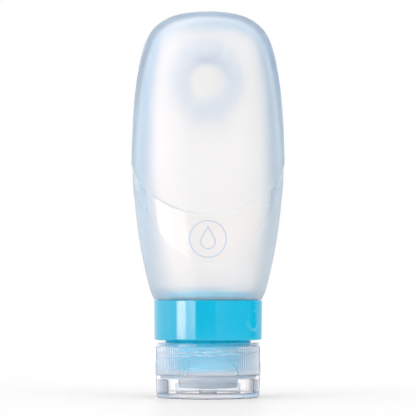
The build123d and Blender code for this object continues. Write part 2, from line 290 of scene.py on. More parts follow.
def make_object(name, vertices, faces, sharp_angle):
    """Mesh object with smooth faces and sharp edges over an angle."""
    mesh = bpy.data.meshes.new(name)
    mesh.from_pydata(vertices, [], faces)
    mesh.validate()
    shaped = bmesh.new()
    shaped.from_mesh(mesh)
    bmesh.ops.recalc_face_normals(shaped, faces=shaped.faces)
    shaped.to_mesh(mesh)
    shaped.free()
    mesh.shade_smooth()
    mesh.set_sharp_from_angle(angle=math.radians(sharp_angle))
    return placed(name, mesh)


def skin_of_rings(name, rings, closed=False, sharp_angle=35):
    """Surface through rings of equal count; a ring of one point is a pole."""
    vertices, starts = [], []
    for ring in rings:
        starts.append(len(vertices))
        vertices.extend(ring)
    pairs = list(zip(range(len(rings)), range(1, len(rings))))
    if closed:
        pairs.append((len(rings) - 1, 0))
    faces = []
    for first, second in pairs:
        a, b = starts[first], starts[second]
        count = max(len(rings[first]), len(rings[second]))
        for i in range(count):
            j = (i + 1) % count
            if len(rings[first]) == 1:
                faces.append((a, b + i, b + j))
            elif len(rings[second]) == 1:
                faces.append((a + j, a + i, b))
            else:
                faces.append((a + i, b + i, b + j, a + j))
    return make_object(name, vertices, faces, sharp_angle)


def mark_points(piece, name, points):
    """Marks mesh points with an attribute by which a material tells kinds of surface apart."""
    marked = piece.data.attributes.new(name, "FLOAT", "POINT")
    for index in points:
        marked.data[index].value = 1


def softened(corners, arc_steps=4, support=0.12 * MM):
    """Closed profile with rounded corners from (radius, height, rounding) corners."""
    most_of_side, lead_share = 0.45, 0.05
    points = []
    count = len(corners)
    for index, (radius, height, rounding) in enumerate(corners):
        here = Vector((radius, height))
        before = Vector(corners[index - 1][:2])
        after = Vector(corners[(index + 1) % count][:2])
        to_before, to_after = before - here, after - here
        if rounding <= 0:
            points.append((radius, height))
            continue
        half = to_before.angle(to_after) / 2
        reach = min(rounding / math.tan(half), most_of_side * to_before.length,
                    most_of_side * to_after.length)
        size = reach * math.tan(half)
        back, on = to_before.normalized(), to_after.normalized()
        centre = here + (back + on).normalized() * size / math.sin(half)
        start, end = here + back * reach, here + on * reach
        points.append(tuple(start + back * min(support, lead_share * to_before.length)))
        spoke = start - centre
        turn = spoke.angle_signed(end - centre)
        for step in range(arc_steps + 1):
            points.append(tuple(centre + Matrix.Rotation(-turn * step / arc_steps, 2) @ spoke))
        points.append(tuple(end + on * min(support, lead_share * to_after.length)))
    return points


def turned(name, profile, columns, shape=None, clocking=0.0, sharp_angle=35):
    """Closed solid of revolution; shape(angle, radius, height) may move a point."""
    rings = []
    for radius, height in profile:
        if radius < 1e-7:
            rings.append([(0, 0, height)])
            continue
        ring = []
        for index in range(columns):
            angle = full_turn * index / columns
            r, z = shape(angle, radius, height) if shape else (radius, height)
            ring.append((r * math.cos(angle + clocking), r * math.sin(angle + clocking), z))
        rings.append(ring)
    poles = any(len(ring) == 1 for ring in rings)
    return skin_of_rings(name, rings, closed=not poles, sharp_angle=sharp_angle)


def from_front(angle, bearing=0.0):
    """Angle from a bearing that is counted from the front, within half a turn either way."""
    return (angle - (bearing + front) + math.pi) % full_turn - math.pi


def helix_rise(angle, height, front_height, turns):
    """How much of the thread's height a helical ridge has at a place on its wall."""
    run_out_angle = math.radians(18)
    best = 0.0
    for lap in (-2, -1, 0, 1, 2):
        unwrapped = angle + full_turn * lap - front
        beyond = abs(unwrapped) - turns * math.pi
        if beyond > 0:
            continue
        off = abs(height - front_height - thread_pitch * unwrapped / full_turn)
        flank = (thread_root_half - off) / (thread_root_half - thread_crest_half)
        run_out = smooth(-beyond, 0, run_out_angle)
        best = max(best, min(max(flank, 0), 1) * run_out)
    return best


# Middle of the suction cup's seat on the back, and the seat's directions
seat_origin = Vector((0, half_sizes(cup_height)[1] - cup_seat_depth, cup_height))
seat_out = Vector((0, math.cos(cup_tilt), math.sin(cup_tilt)))
seat_up = Vector((0, -math.sin(cup_tilt), math.cos(cup_tilt)))


def pressed(point, steps):
    """A point of the back moved down to the seat's floor; steps are (radius, level, softness)."""
    place = Vector(point)
    if place.y <= 0:
        return point
    offset = place - seat_origin
    across = math.hypot(offset.x, offset.dot(seat_up))
    level = offset.dot(seat_out)
    for radius, floor, softness in steps:
        if level > floor:
            inside = 1 - smooth(across, radius - softness, radius)
            level -= (level - floor) * inside
    return tuple(place + seat_out * (level - offset.dot(seat_out)))


def step_on_column(angle):
    """Height at which the step crosses a column of the body's outline."""
    half_span = body_half_width - step_depth / 2
    height = (step_side + step_low) / 2
    for _ in range(24):
        across = min(abs(half_sizes(height)[0] * math.cos(angle)) / half_span, 1)
        height = step_side - (step_side - step_low) * max(1 - across * across, 0) ** step_bow
    return height


def soft_body():
    """Frosted silicone body: raised upper surface, step, foot, mouth, hollow and cup seat."""
    angles = [full_turn * i / body_columns for i in range(body_columns)]
    steps = [step_on_column(angle) for angle in angles]
    seat = [(cup_seat_radius, 0, cup_seat_softness)]
    hollow_seat = [(cup_seat_radius + body_wall, -body_wall, hollow_seat_softness),
                   (hollow_boss_radius, -socket_depth - body_wall, hollow_boss_softness)]
    support = thin_edge
    foot_steps = 4
    rings = [[(0, 0, body_top)]]

    def outer_ring(heights, set_backs):
        ring = []
        for angle, height, back in zip(angles, heights, set_backs):
            wide, deep = half_sizes(height)
            point = ((wide - back) * math.cos(angle), (deep - back) * math.sin(angle), height)
            ring.append(pressed(point, seat))
        return ring

    for row in range(1, upper_rows + 1):
        heights = []
        for top_of_step in steps:
            reach = math.sqrt((body_top - top_of_step - step_width / 2) / body_height)
            heights.append(body_top - (reach * row / upper_rows) ** 2 * body_height)
        rings.append(outer_ring(heights, [0] * body_columns))
    for share in (0.2, 0.4, 0.6, 0.8, 1.0):
        heights = [s + step_width / 2 - step_width * share for s in steps]
        rings.append(outer_ring(heights, [step_depth * smooth(share, 0, 1)] * body_columns))
    for row in range(1, lower_rows + 1):
        share = row / lower_rows
        end = body_start + foot_round
        heights = [s - step_width / 2 - (s - step_width / 2 - end) * share for s in steps]
        rings.append(outer_ring(heights, [step_depth] * body_columns))

    def circle(radius, height):
        return [(radius * math.cos(a), radius * math.sin(a), height) for a in angles]

    for step in range(1, foot_steps + 1):
        turn = math.pi / 2 * step / foot_steps
        rings.append(circle(foot_radius - foot_round * (1 - math.cos(turn)),
                            body_start + foot_round * (1 - math.sin(turn))))
    for radius, height in [
            (skirt_radius + plain_edge, body_start), (skirt_radius, body_start - plain_edge),
            (skirt_radius, body_low.z + plain_edge), (skirt_radius - plain_edge, body_low.z),
            (mouth_radius + plain_edge, body_low.z), (mouth_radius, body_low.z + plain_edge),
            (mouth_radius, flange_seat), (pocket_radius, flange_seat),
            (pocket_radius, cavity_start + step_depth - support),
            (pocket_radius, cavity_start + step_depth)]:
        rings.append(circle(radius, height))

    hollow_start = len(rings)
    hollow_top = body_top - side_wall
    low = cavity_start + cavity_chamfer
    heights = [low]
    for row in range(hollow_rows):
        root = 1 - row / hollow_rows
        heights.append(hollow_top - (hollow_top - low - support) * root * root)
    for height in heights:
        share = (hollow_top - height) / (hollow_top - cavity_start)
        extra_wall = (side_wall - body_wall) * (1 - share**4)
        wide = inset_size(width_points, height, body_wall + extra_wall)
        deep = inset_size(depth_points, height + extra_wall, body_wall)
        rings.append([pressed((wide * math.cos(a), deep * math.sin(a), height), hollow_seat)
                      for a in angles])
    rings.append([(0, 0, hollow_top)])
    piece = skin_of_rings("soft_body", rings, sharp_angle=50)
    mark_points(piece, "outside", range(1 + (hollow_start - 1) * body_columns))
    return piece


def threaded_neck():
    """Rigid neck with its screw thread, stop and flange."""
    rows = 74
    flange_edge = 0.25 * MM
    rim_gap, stop_gap = 0.7 * MM, 0.5 * MM
    thread_low, thread_high = neck_low.z + rim_gap, stop_low - stop_gap
    wall = [(neck_radius, thread_high - (thread_high - thread_low) * i / rows, 0)
            for i in range(rows + 1)]
    corners = [
        (neck_bore, neck_low.z, wide_edge), (neck_bore, neck_high.z, wide_edge),
        (flange_radius, neck_high.z, flange_edge), (flange_radius, flange_low, flange_edge),
        (neck_radius, flange_low, 0), (neck_radius, stop_high, 0),
        (stop_radius, stop_high, plain_edge), (stop_radius, stop_low, plain_edge),
        (neck_radius, stop_low, small_edge)]
    profile = softened([*corners, *wall, (neck_radius, neck_low.z, wide_edge)])

    def with_thread(angle, radius, height):
        on_wall = abs(radius - neck_radius) < 1e-6 and thread_low <= height <= thread_high
        rise = helix_rise(angle, height, neck_thread_height, neck_thread_turns) if on_wall else 0
        return radius + thread_height * rise, height

    return turned("threaded_neck", profile, 200, with_thread)


def collar():
    """Glossy retaining collar with its raised round spot."""
    low, high = collar_low.z, collar_high.z
    lip_top = low + collar_lip
    middle = (low + high) / 2
    rows = 44
    foot_edge = 0.7 * MM
    spot_edge = 0.5 * MM
    wall_share = 1 / 3
    side = []
    for i in range(1, rows):
        share = i / rows
        side.append((collar_radius - collar_draft * (1 - share), low + (high - low) * share, 0))
    corners = [
        (mouth_radius, low, small_edge), (collar_radius - collar_draft, low, foot_edge),
        *side[2:-1],
        (collar_radius, high, wide_edge), (collar_bore, high, small_edge),
        (collar_bore, lip_top, 0), (mouth_radius, lip_top, small_edge)]
    profile = softened(corners, arc_steps=6)

    def with_spot(angle, radius, height):
        if radius < collar_bore + wall_share * (collar_radius - collar_bore):
            return radius, height
        away = math.hypot(from_front(angle, spot_bearing) * collar_radius, height - middle)
        return radius + spot_height * (1 - smooth(away, spot_radius - spot_edge, spot_radius)), height

    return turned("collar", profile, 320, with_spot)


def grip_wall_radius(angle):
    """Radius of the ribbed wall: narrow grooves between rounded ribs."""
    flank_share = 0.34
    rib = (angle * grip_rib_count / full_turn) % 1
    return cap_radius + grip_rib_height * smooth(0.5 - abs(rib - 0.5), 0, flank_share)


def screw_cap():
    """Clear screw cap: ribbed grip wall with its thumb recess, thread, deck and spout boss."""
    columns = grip_rib_count * 4
    ribs_top = cap_top - cap_rim_height
    ribs_low = shoulder + cap_bevel
    recess_rows, rib_rows, bore_rows = 10, 10, 60
    rim_radius = cap_radius - cap_rim_set_back
    boss_edge = 0.4 * MM
    bevel_sag = 0.07 * MM
    milky_depth = 0.08 * MM

    def arch(angle):
        """Height of the recess's arch above the shoulder on a column."""
        off = from_front(angle)
        across = grip_radius * math.sin(off) / recess_half_width
        if abs(off) > math.pi / 2 or abs(across) >= 1:
            return 0.0
        return recess_height * math.sqrt(1 - across * across)

    def ring(points):
        return [(r * math.cos(a + cap_clocking), r * math.sin(a + cap_clocking), z)
                for a, (r, z) in zip(angles, points)]

    angles = [full_turn * i / columns for i in range(columns)]
    arches = [arch(angle) for angle in angles]
    rings = []
    bead_middle = (deck_low + shoulder) / 2
    outline = [
        (spout_radius, boss_pocket_floor), (spout_radius, boss_low + plain_edge),
        (spout_radius + plain_edge, boss_low), (boss_radius - boss_edge, boss_low),
        (boss_radius - fine_edge, boss_low + fine_edge), (boss_radius, boss_low + boss_edge),
        (boss_radius, deck_low - wide_edge), (boss_radius + thin_edge, deck_low - thin_edge),
        (boss_radius + wide_edge, deck_low), (spigot_radius - cap_bevel, deck_low),
        (spigot_radius - bevel_sag, deck_low + bevel_sag), (spigot_radius, deck_low + cap_bevel),
        (spigot_radius, bead_middle - 2 * snap_bead), (spigot_radius + snap_bead, bead_middle),
        (spigot_radius, bead_middle + 2 * snap_bead), (spigot_radius, shoulder - hair_edge)]
    for point in outline:
        rings.append(ring([point] * columns))

    def recessed(radius, height, arch_height):
        """Radius at a height under the arch: the recess's sloping floor, or the wall."""
        if arch_height <= 0:
            return radius
        deepest = grip_radius - recess_depth
        floor = deepest + (cap_radius - deepest) * (height - shoulder) / recess_height
        return min(radius, floor)

    recess_start = len(rings)
    rings.append(ring([(recessed(cap_radius - cap_bevel, shoulder, h), shoulder) for h in arches]))
    for row in range(recess_rows + 1):
        share = row / recess_rows
        points = []
        for angle, arch_height in zip(angles, arches):
            low = shoulder if arch_height > 0 else ribs_low
            end = max(shoulder + arch_height, ribs_low)
            height = max(low + (end - low) * share, low)
            wall = grip_wall_radius(angle)
            points.append((recessed(wall, height, arch_height), height))
        rings.append(ring(points))
    recess_end = len(rings)
    for row in range(rib_rows + 1):
        share = row / rib_rows
        points = []
        for angle, arch_height in zip(angles, arches):
            low = max(shoulder + arch_height, ribs_low) + (fine_edge if arch_height > 0 else 0)
            points.append((grip_wall_radius(angle), low + (ribs_top - plain_edge - low) * share))
        rings.append(ring(points))
    rings.append(ring([((grip_wall_radius(angle) + rim_radius) / 2, ribs_top - hair_edge)
                       for angle in angles]))
    rim = [(rim_radius, ribs_top), (rim_radius, cap_top - cap_bevel),
           (rim_radius - bevel_sag, cap_top - bevel_sag), (rim_radius - cap_bevel, cap_top),
           (cap_bore + plain_edge, cap_top), (cap_bore + hair_edge, cap_top - hair_edge)]
    for point in rim:
        rings.append(ring([point] * columns))
    inside_start = len(rings)
    bore_high, bore_low = cap_top - plain_edge, deck_high + wide_edge
    for row in range(bore_rows + 1):
        height = bore_high - (bore_high - bore_low) * row / bore_rows
        points = []
        for angle in angles:
            rise = helix_rise(angle, height, neck_thread_height + thread_pitch / 2, cap_thread_turns)
            points.append((cap_bore - thread_height * rise, height))
        rings.append(ring(points))
    inside = [(cap_bore - thin_edge, deck_high + thin_edge), (cap_bore - wide_edge, deck_high),
              (boss_pocket_radius + small_edge, deck_high),
              (boss_pocket_radius, deck_high - small_edge),
              (boss_pocket_radius, boss_pocket_floor + thin_edge),
              (boss_pocket_radius - thin_edge, boss_pocket_floor)]
    for point in inside:
        rings.append(ring([point] * columns))
    piece = skin_of_rings("screw_cap", rings, closed=True, sharp_angle=40)
    mark_points(piece, "matte", range(inside_start * columns, len(rings) * columns))
    milky = [vertex.index for vertex in piece.data.vertices
             if math.hypot(vertex.co.x, vertex.co.y) > grip_radius - milky_depth]
    milky += [row * columns + i for row in range(recess_start, recess_end)
              for i, height in enumerate(arches) if height > 0]
    mark_points(piece, "milky", milky)
    return piece


def clear_lid():
    """Clear flip lid: drafted cup with flat inner sides, a ring round the boss and a centre pin."""
    draft = (lid_radius - lid_foot_radius) / (lid_height - lid_floor)
    margin = 0.01 * MM
    floor_edge = 0.35 * MM
    pin_edge = 0.25 * MM
    flat_depth = 0.6 * MM

    def wall_inside(height):
        return lid_foot_radius - lid_wall + draft * (height - lid_floor)

    def flat_sided(angle, radius, height):
        """Moves the lower part of the inner wall in to the flats at the left and right."""
        reach = lid_pad_distance / max(abs(math.cos(angle)), 0.01)
        on_wall = lid_ring_outer + lid_wall < radius < lid_foot_radius - lid_wall / 2
        low_enough = lid_floor - margin < height < lid_pad_top + margin
        if on_wall and low_enough and reach < wall_inside(height):
            radius -= wall_inside(height) - reach
        return radius, height

    corners = [
        (lid_foot_radius, 0, lid_corner),
        (lid_radius, lid_height - small_edge, fine_edge),
        (lid_radius - small_edge, lid_height, fine_edge),
        (lid_radius - lid_wall, lid_height, small_edge),
        *[(wall_inside(height), height, 0)
          for height in (lid_pad_top + small_edge, lid_pad_top, lid_pad_top - small_edge)],
        (lid_foot_radius - lid_wall, lid_floor, floor_edge),
        (lid_ring_outer, lid_floor, plain_edge), (lid_ring_outer, lid_ring_top, fine_edge),
        (lid_ring_bore, lid_ring_top, fine_edge), (lid_ring_bore, lid_floor, plain_edge),
        (lid_pin_radius, lid_floor, plain_edge), (lid_pin_radius, lid_pin_top, pin_edge)]
    profile = softened([(middle_radius, 0, 0), *corners, (middle_radius, lid_pin_top, 0)])
    profile = [(0, 0), *profile, (0, lid_pin_top)]
    piece = turned("clear_lid", profile, 240, flat_sided, cap_clocking, sharp_angle=25)
    turn_back = Matrix.Rotation(-cap_clocking, 3, "Z")
    flats = [vertex.index for vertex in piece.data.vertices
             if abs((turn_back @ vertex.co).x) > lid_pad_distance - flat_depth
             and math.hypot(vertex.co.x, vertex.co.y) < lid_foot_radius - lid_wall / 2
             and lid_floor + hair_edge < vertex.co.z < lid_pad_top + margin]
    mark_points(piece, "matte", flats)
    return piece


def cup():
    """Soft suction cup with its stem and knob, in its seat on the back."""
    wall_gap, gap = 0.12 * MM, 0.06 * MM
    start = cup_stem_length - wall_gap
    end = -start - cup_knob_length
    half = cup_lip / 2
    corners = [
        (middle_radius, end, 0), (cup_knob_radius - half, end, plain_edge),
        (cup_knob_radius, end + half, plain_edge), (cup_knob_radius, -start, plain_edge),
        (cup_stem_radius, -start, 0), (cup_stem_radius, gap, thin_edge), (2 * cup_stem_radius, gap, 0)]
    back = [(2 * cup_stem_radius, gap), (0.72 * cup_radius, 0.36 * cup_depth),
            (cup_radius, cup_depth - half)]
    face = [(cup_stem_radius, cup_middle), (0.62 * cup_radius, 0.5 * cup_depth),
            (cup_radius - cup_lip, cup_depth)]
    arc_rows = 16

    def sampled(points, shares):
        start_x, end_x = points[0][0], points[-1][0]
        places = [start_x + (end_x - start_x) * share for share in shares]
        return [(x, through(points, x)) for x in places]

    rise = sampled(back, [i / arc_rows for i in range(1, arc_rows + 1)])
    fall = sampled(face, [1 - i / arc_rows for i in range(arc_rows + 1)])
    rim = [(cup_radius - thin_edge, cup_depth - thin_edge), (cup_radius - half, cup_depth)]
    profile = [*softened(corners), *rise, *rim, *fall]
    profile = [(0, profile[0][1]), *profile, (0, cup_middle)]
    piece = turned("cup", profile, 144, sharp_angle=60)
    turn = Matrix((
        (1, 0, 0, seat_origin.x),
        (0, seat_up.y, seat_out.y, seat_origin.y),
        (0, seat_up.z, seat_out.z, seat_origin.z),
        (0, 0, 0, 1)))
    piece.data.transform(turn @ Matrix.Scale(-1, 4, (0, 1, 0)))
    piece.data.flip_normals()
    return piece


def sealing_ring():
    """Flat gasket with softly rounded edges."""
    ring_width = 4.0 * MM
    outer = gasket_high.x
    inner = outer - ring_width
    low, high = gasket_low.z, gasket_high.z
    corners = [(inner, low, small_edge), (outer, low, small_edge),
               (outer, high, small_edge), (inner, high, small_edge)]
    return turned("sealing_ring", softened(corners), 160, clocking=cap_clocking)


def valve():
    """Soft valve: a flange and a dished skin with a cross slit."""
    floor_gap, side_gap = 0.06 * MM, 0.12 * MM
    flange_wall = 0.9 * MM
    skin_wall = 0.6 * MM
    slit_length, slit_width, slit_height = 5 * MM, 0.1 * MM, 4 * MM
    flange_low_z = boss_pocket_floor + floor_gap
    flange_high_z = flange_low_z + flange_wall
    dish_radius = spout_radius - side_gap
    drop = flange_low_z - valve_low.z
    sphere = (dish_radius**2 + drop**2) / (2 * drop)
    centre = valve_low.z + sphere
    outer = boss_pocket_radius - side_gap
    inner_radius = dish_radius - skin_wall - thin_edge
    rows = 14

    def dished(radius, size):
        """Point of the profile under a ball of a size round the dish's centre."""
        return radius, centre - math.sqrt(size**2 - radius * radius)

    profile = [dished(dish_radius * i / rows, sphere) for i in range(rows + 1)]
    profile += [(outer - small_edge, flange_low_z), (outer, flange_low_z + small_edge),
                (outer, flange_high_z - small_edge), (outer - small_edge, flange_high_z),
                (dish_radius - skin_wall, flange_high_z)]
    profile += [dished(inner_radius * (1 - i / rows), sphere - skin_wall) for i in range(rows + 1)]
    piece = turned("valve", profile, 96, clocking=cap_clocking)
    size = Matrix.Diagonal((slit_length, slit_width, slit_height, 1))
    place = Matrix.Translation((0, 0, flange_low_z))
    for turn in (0, 90):
        cutter = bmesh.new()
        bmesh.ops.create_cube(cutter, size=1)
        aim = Matrix.Rotation(math.radians(turn) + cap_clocking, 4, "Z")
        bmesh.ops.transform(cutter, matrix=place @ aim @ size, verts=cutter.verts)
        knife = placed("slit", as_mesh("slit", cutter))
        cut = piece.modifiers.new("slit", "BOOLEAN")
        cut.object = knife
        cut.solver = "EXACT"
        made = evaluated(piece)
        piece.modifiers.clear()
        piece.data = made
        bpy.data.objects.remove(knife)
    return piece


def snap_ring():
    """Ring that holds the valve in its pocket."""
    side_gap = 0.12 * MM
    outer, inner = boss_pocket_radius - side_gap, 5.6 * MM
    low, high = retainer_low.z, retainer_high.z
    corners = [(inner, low, small_edge), (outer, low, small_edge),
               (outer, high, plain_edge), (inner, high, wide_edge)]
    return turned("snap_ring", softened(corners), 128, clocking=cap_clocking)


def film_hinge():
    """Thin film between cap and lid, in fine strips."""
    half_width = 6.0 * MM
    bulge_past_axis = 0.45 * MM
    rear, bulge = grip_radius, hinge_distance + bulge_past_axis
    film = 0.4 * MM
    foot = 1.3 * MM
    cap_gap, lid_overlap = 0.06 * MM, 0.04 * MM
    columns = 24
    # Distance from the axis and share of the foot's height, down outside and back up inside
    outline = [
        (rear + film, 1), (rear + 1.1 * film, 0.75), (bulge - thin_edge, 0.42), (bulge, 0.15),
        (bulge, -0.15), (bulge - thin_edge, -0.42), (rear + 1.1 * film, -0.75), (rear + film, -1),
        (rear - lid_overlap, -1), (rear - lid_overlap, -0.75), (rear + fine_edge, -0.42),
        (bulge - film, -0.12), (bulge - film, 0.12), (rear + fine_edge, 0.42),
        (rear + cap_gap, 0.75), (rear + cap_gap, 1)]
    turn = Matrix.Rotation(cap_clocking, 3, "Z")
    rings = []
    for index in range(columns + 1):
        x = half_width * (2 * index / columns - 1)
        points = [Vector((x, y, hinge_height + share * foot)) for y, share in outline]
        rings.append([tuple(turn @ point) for point in points])
    piece = skin_of_rings("film_hinge", rings, sharp_angle=50)
    ends = bmesh.new()
    ends.from_mesh(piece.data)
    bmesh.ops.holes_fill(ends, edges=ends.edges)
    bmesh.ops.recalc_face_normals(ends, faces=ends.faces)
    ends.to_mesh(piece.data)
    ends.free()
    return piece


def drop_mark():
    """Plain mark on the front: a ring round a water drop, in thin raised lines."""
    ring_radius = 6.5 * MM
    ring_height = 56.8 * MM
    line = 0.28 * MM
    sunk = 0.05 * MM
    drop_radius, drop_low = 2.6 * MM, -0.9 * MM
    tip = (0, 4.3 * MM)
    ring_steps, drop_steps, side_steps = 96, 48, 12

    def side(start, end):
        """Points between the ends of a straight side."""
        shares = [i / side_steps for i in range(1, side_steps)]
        return [(start[0] + (end[0] - start[0]) * share, start[1] + (end[1] - start[1]) * share)
                for share in shares]

    ring_points = [(ring_radius * math.cos(a), ring_radius * math.sin(a))
                   for a in (full_turn * i / ring_steps for i in range(ring_steps))]
    tangent = math.acos(drop_radius / (tip[1] - drop_low))
    drop = []
    for i in range(drop_steps + 1):
        a = math.pi / 2 + tangent + (full_turn - 2 * tangent) * i / drop_steps
        drop.append((drop_radius * math.cos(a), drop_low + drop_radius * math.sin(a)))
    drop = [*drop, *side(drop[-1], tip), tip, *side(tip, drop[0])]
    lines = bmesh.new()
    for points in (ring_points, drop):
        curve = bpy.data.curves.new("mark_line", "CURVE")
        curve.dimensions = "3D"
        curve.bevel_depth = line / 2
        curve.bevel_resolution = 2
        spline = curve.splines.new("POLY")
        spline.points.add(len(points) - 1)
        spline.use_cyclic_u = True
        for place, (x, up) in zip(spline.points, points):
            height = ring_height + up
            wide, deep = (half - step_depth for half in half_sizes(height))
            place.co = (x, -deep * math.sqrt(1 - (x / wide) ** 2) + sunk, height, 1)
        line_object = placed("mark_line", curve)
        lines.from_mesh(evaluated(line_object))
        bpy.data.objects.remove(line_object)
    mesh = as_mesh("drop_mark", lines)
    mesh.shade_smooth()
    return placed("drop_mark", mesh)


class Nodes:
    """Small helper that builds the nodes of a material or of the world."""

    def __init__(self, tree):
        self.tree = tree

    def node(self, kind, **settings):
        made = self.tree.nodes.new(kind)
        for key, value in settings.items():
            setattr(made, key, value)
        return made

    def feed(self, socket, value):
        """Links a socket to a node's output, or sets it to a number, a place or a colour."""
        if isinstance(value, bpy.types.NodeSocket):
            self.tree.links.new(value, socket)
        elif socket.type == "RGBA":
            socket.default_value = (*value, 1)
        else:
            socket.default_value = value

    def fed(self, kind, values, **settings):
        """A new node with inputs linked or set, by their name or number."""
        made = self.node(kind, **settings)
        for name, value in values.items():
            self.feed(made.inputs[name], value)
        return made

    def spread(self, source, low, high, from_low=0.3, from_high=0.7):
        """Value between low and high, by where the source lies between two limits."""
        made = self.fed("ShaderNodeMapRange", {
            "Value": source, "From Min": from_low, "From Max": from_high,
            "To Min": low, "To Max": high})
        return made.outputs["Result"]

    def math(self, operation, *values):
        return self.fed("ShaderNodeMath", dict(enumerate(values)), operation=operation).outputs[0]

    def colours(self, factor, first, second):
        """Colour between two colours."""
        made = self.fed("ShaderNodeMix", {"Factor": factor}, data_type="RGBA")
        ends = [socket for socket in made.inputs if socket.type == "RGBA"]
        self.feed(ends[0], first)
        self.feed(ends[1], second)
        return [socket for socket in made.outputs if socket.type == "RGBA"][0]

    def axes(self, place):
        return self.fed("ShaderNodeSeparateXYZ", {0: place}).outputs


class Shading(Nodes):
    """Nodes of one material, round its main shader."""

    def __init__(self, name):
        self.material = bpy.data.materials.new(name)
        self.material.use_nodes = True
        super().__init__(self.material.node_tree)
        self.place = self.node("ShaderNodeTexCoord").outputs["Object"]

    def set(self, **values):
        """Sets or links inputs of the shader, named with _ in place of spaces."""
        for key, value in values.items():
            self.feed(self.tree.nodes["Principled BSDF"].inputs[key.replace("_", " ")], value)

    def noise(self, scale, detail=2.0):
        made = self.fed("ShaderNodeTexNoise", {"Scale": scale, "Detail": detail, "Vector": self.place})
        return made.outputs["Fac"]

    def distance(self, place):
        """Distance from a place on the object."""
        made = self.fed("ShaderNodeVectorMath", {0: self.place, 1: place}, operation="DISTANCE")
        return made.outputs["Value"]

    def bump(self, height, strength, distance):
        made = self.fed("ShaderNodeBump", {
            "Strength": strength, "Distance": distance, "Height": height})
        self.set(Normal=made.outputs["Normal"])

    def marked(self, name):
        """1 on the points that mark_points marked, and 0 elsewhere."""
        return self.node("ShaderNodeAttribute", attribute_name=name).outputs["Fac"]

    def absorb(self, colour, density):
        """Tint that deepens with the thickness of the piece."""
        made = self.fed("ShaderNodeVolumeAbsorption", {"Color": colour, "Density": density})
        self.feed(self.tree.nodes["Material Output"].inputs["Volume"], made.outputs["Volume"])


def silicone():
    """Frosted silicone: clearer over the cup's stem, glossier in a crescent on the front."""
    look = Shading("frosted_silicone")
    x, y, z = look.axes(look.place)
    from_cup = look.distance(seat_origin)
    stem_zone = 7 * MM, 11 * MM
    over_stem, elsewhere = 0.99, 0.82
    stem_polish, crescent_polish = 0.22, 0.22
    gloss_blur, step_blur = 0.3 * MM, 0.15 * MM
    clearness = look.spread(from_cup, over_stem, elsewhere, *stem_zone)
    smoothness = look.spread(from_cup, stem_polish, 0, *stem_zone)
    across = look.math("DIVIDE", x, body_half_width)
    room = look.math("MAXIMUM", look.math("SUBTRACT", 1, look.math("MULTIPLY", across, across)), 0)

    def above(low, bow, blur):
        """1 above a drooping curve on the front and 0 below it, with a blurred edge."""
        droop = look.math("MULTIPLY", look.math("POWER", room, bow), step_side - low)
        curve = look.math("SUBTRACT", step_side, droop)
        return look.spread(look.math("SUBTRACT", z, curve), 0, 1, -blur, blur)

    over_gloss = above(gloss_low, gloss_bow, gloss_blur)
    over_step = above(step_low, step_bow, step_blur)
    front_side = look.math("MULTIPLY", look.marked("outside"), look.math("LESS_THAN", y, 0))
    crescent = look.math("MULTIPLY", look.math("SUBTRACT", over_gloss, over_step), front_side)
    frost = look.math("SUBTRACT", look.spread(look.noise(260, 3), 0.34, 0.40), smoothness)
    polish = look.math("MULTIPLY", crescent, crescent_polish)
    tint = look.colours(look.noise(30), (0.992, 0.964, 0.95), (0.992, 0.968, 0.954))
    look.set(IOR=1.41, Transmission_Weight=clearness, Base_Color=tint,
             Roughness=look.math("SUBTRACT", frost, polish))
    grain = look.math("SUBTRACT", look.noise(2600, 2), 0.5)
    look.bump(look.math("MULTIPLY", grain, look.math("SUBTRACT", 1, crescent)), 0.2, 0.05 * MM)
    look.absorb((0.36, 0.76, 0.94), 36)
    return look.material


def clear_plastic(name, clearness, milky, milky_top, clear_from, matte, shine, colour, density):
    """Natural polypropylene: clear above a height, milky below it, duller where marked matte."""
    haze_curve, milky_share, paler_by = 0.45, 0.22, 0.004
    look = Shading(name)
    over_milky = look.spread(look.axes(look.place)[2], 0, 1, milky_top, clear_from)
    clear_part = look.spread(look.math("POWER", over_milky, haze_curve), milky, clearness, 0, 1)
    whiter = look.math("MULTIPLY", look.marked("milky"), milky_share)
    duller = look.math("MULTIPLY", look.marked("matte"), matte)
    paler = [min(part + paler_by, 1) for part in colour]
    look.set(IOR=1.36, Specular_IOR_Level=shine, Base_Color=look.colours(look.noise(40), colour, paler),
             Transmission_Weight=look.math("SUBTRACT", clear_part, whiter),
             Roughness=look.math("ADD", look.spread(look.noise(300, 3), 0.04, 0.08), duller))
    look.bump(look.noise(500, 1), 0.02, 0.05 * MM)
    look.absorb((0.35, 0.55, 0.78), density)
    return look.material


def blue_plastic(name, colour, deep_colour, low_roughness, high_roughness, gloss_index):
    """Opaque blue moulded plastic."""
    look = Shading(name)
    look.set(IOR=gloss_index, Base_Color=look.colours(look.noise(45), colour, deep_colour),
             Roughness=look.spread(look.noise(420, 3), low_roughness, high_roughness))
    look.bump(look.noise(900, 2), 0.04, 0.03 * MM)
    return look.material


def cup_silicone():
    """Clearer, smoother silicone of the suction cup, with painted shade: its colour turns darker and
    bluer towards its edge.
    """
    look = Shading("cup_silicone")
    # Painted shade: the base colour darkens and turns bluer away from the cup's middle, standing in for
    # the shading of its outer ring.
    painted_rim_shade = look.spread(look.distance(seat_origin), 0, 1, 7.5 * MM, 9.5 * MM)
    look.set(IOR=1.25, Transmission_Weight=0.98,
             Base_Color=look.colours(painted_rim_shade, (1.0, 0.99, 0.97), (0.68, 0.8, 0.96)),
             Roughness=look.spread(look.noise(200, 3), 0.10, 0.16))
    look.absorb((0.5, 0.75, 0.95), 6)
    return look.material


def seal_silicone():
    """Satin milky silicone of the seal and the valve."""
    look = Shading("seal_silicone")
    look.set(IOR=1.41, Transmission_Weight=0.5,
             Base_Color=look.colours(look.noise(80), (0.96, 0.97, 0.99), (0.97, 0.98, 0.99)),
             Roughness=look.spread(look.noise(400, 3), 0.35, 0.5))
    return look.material


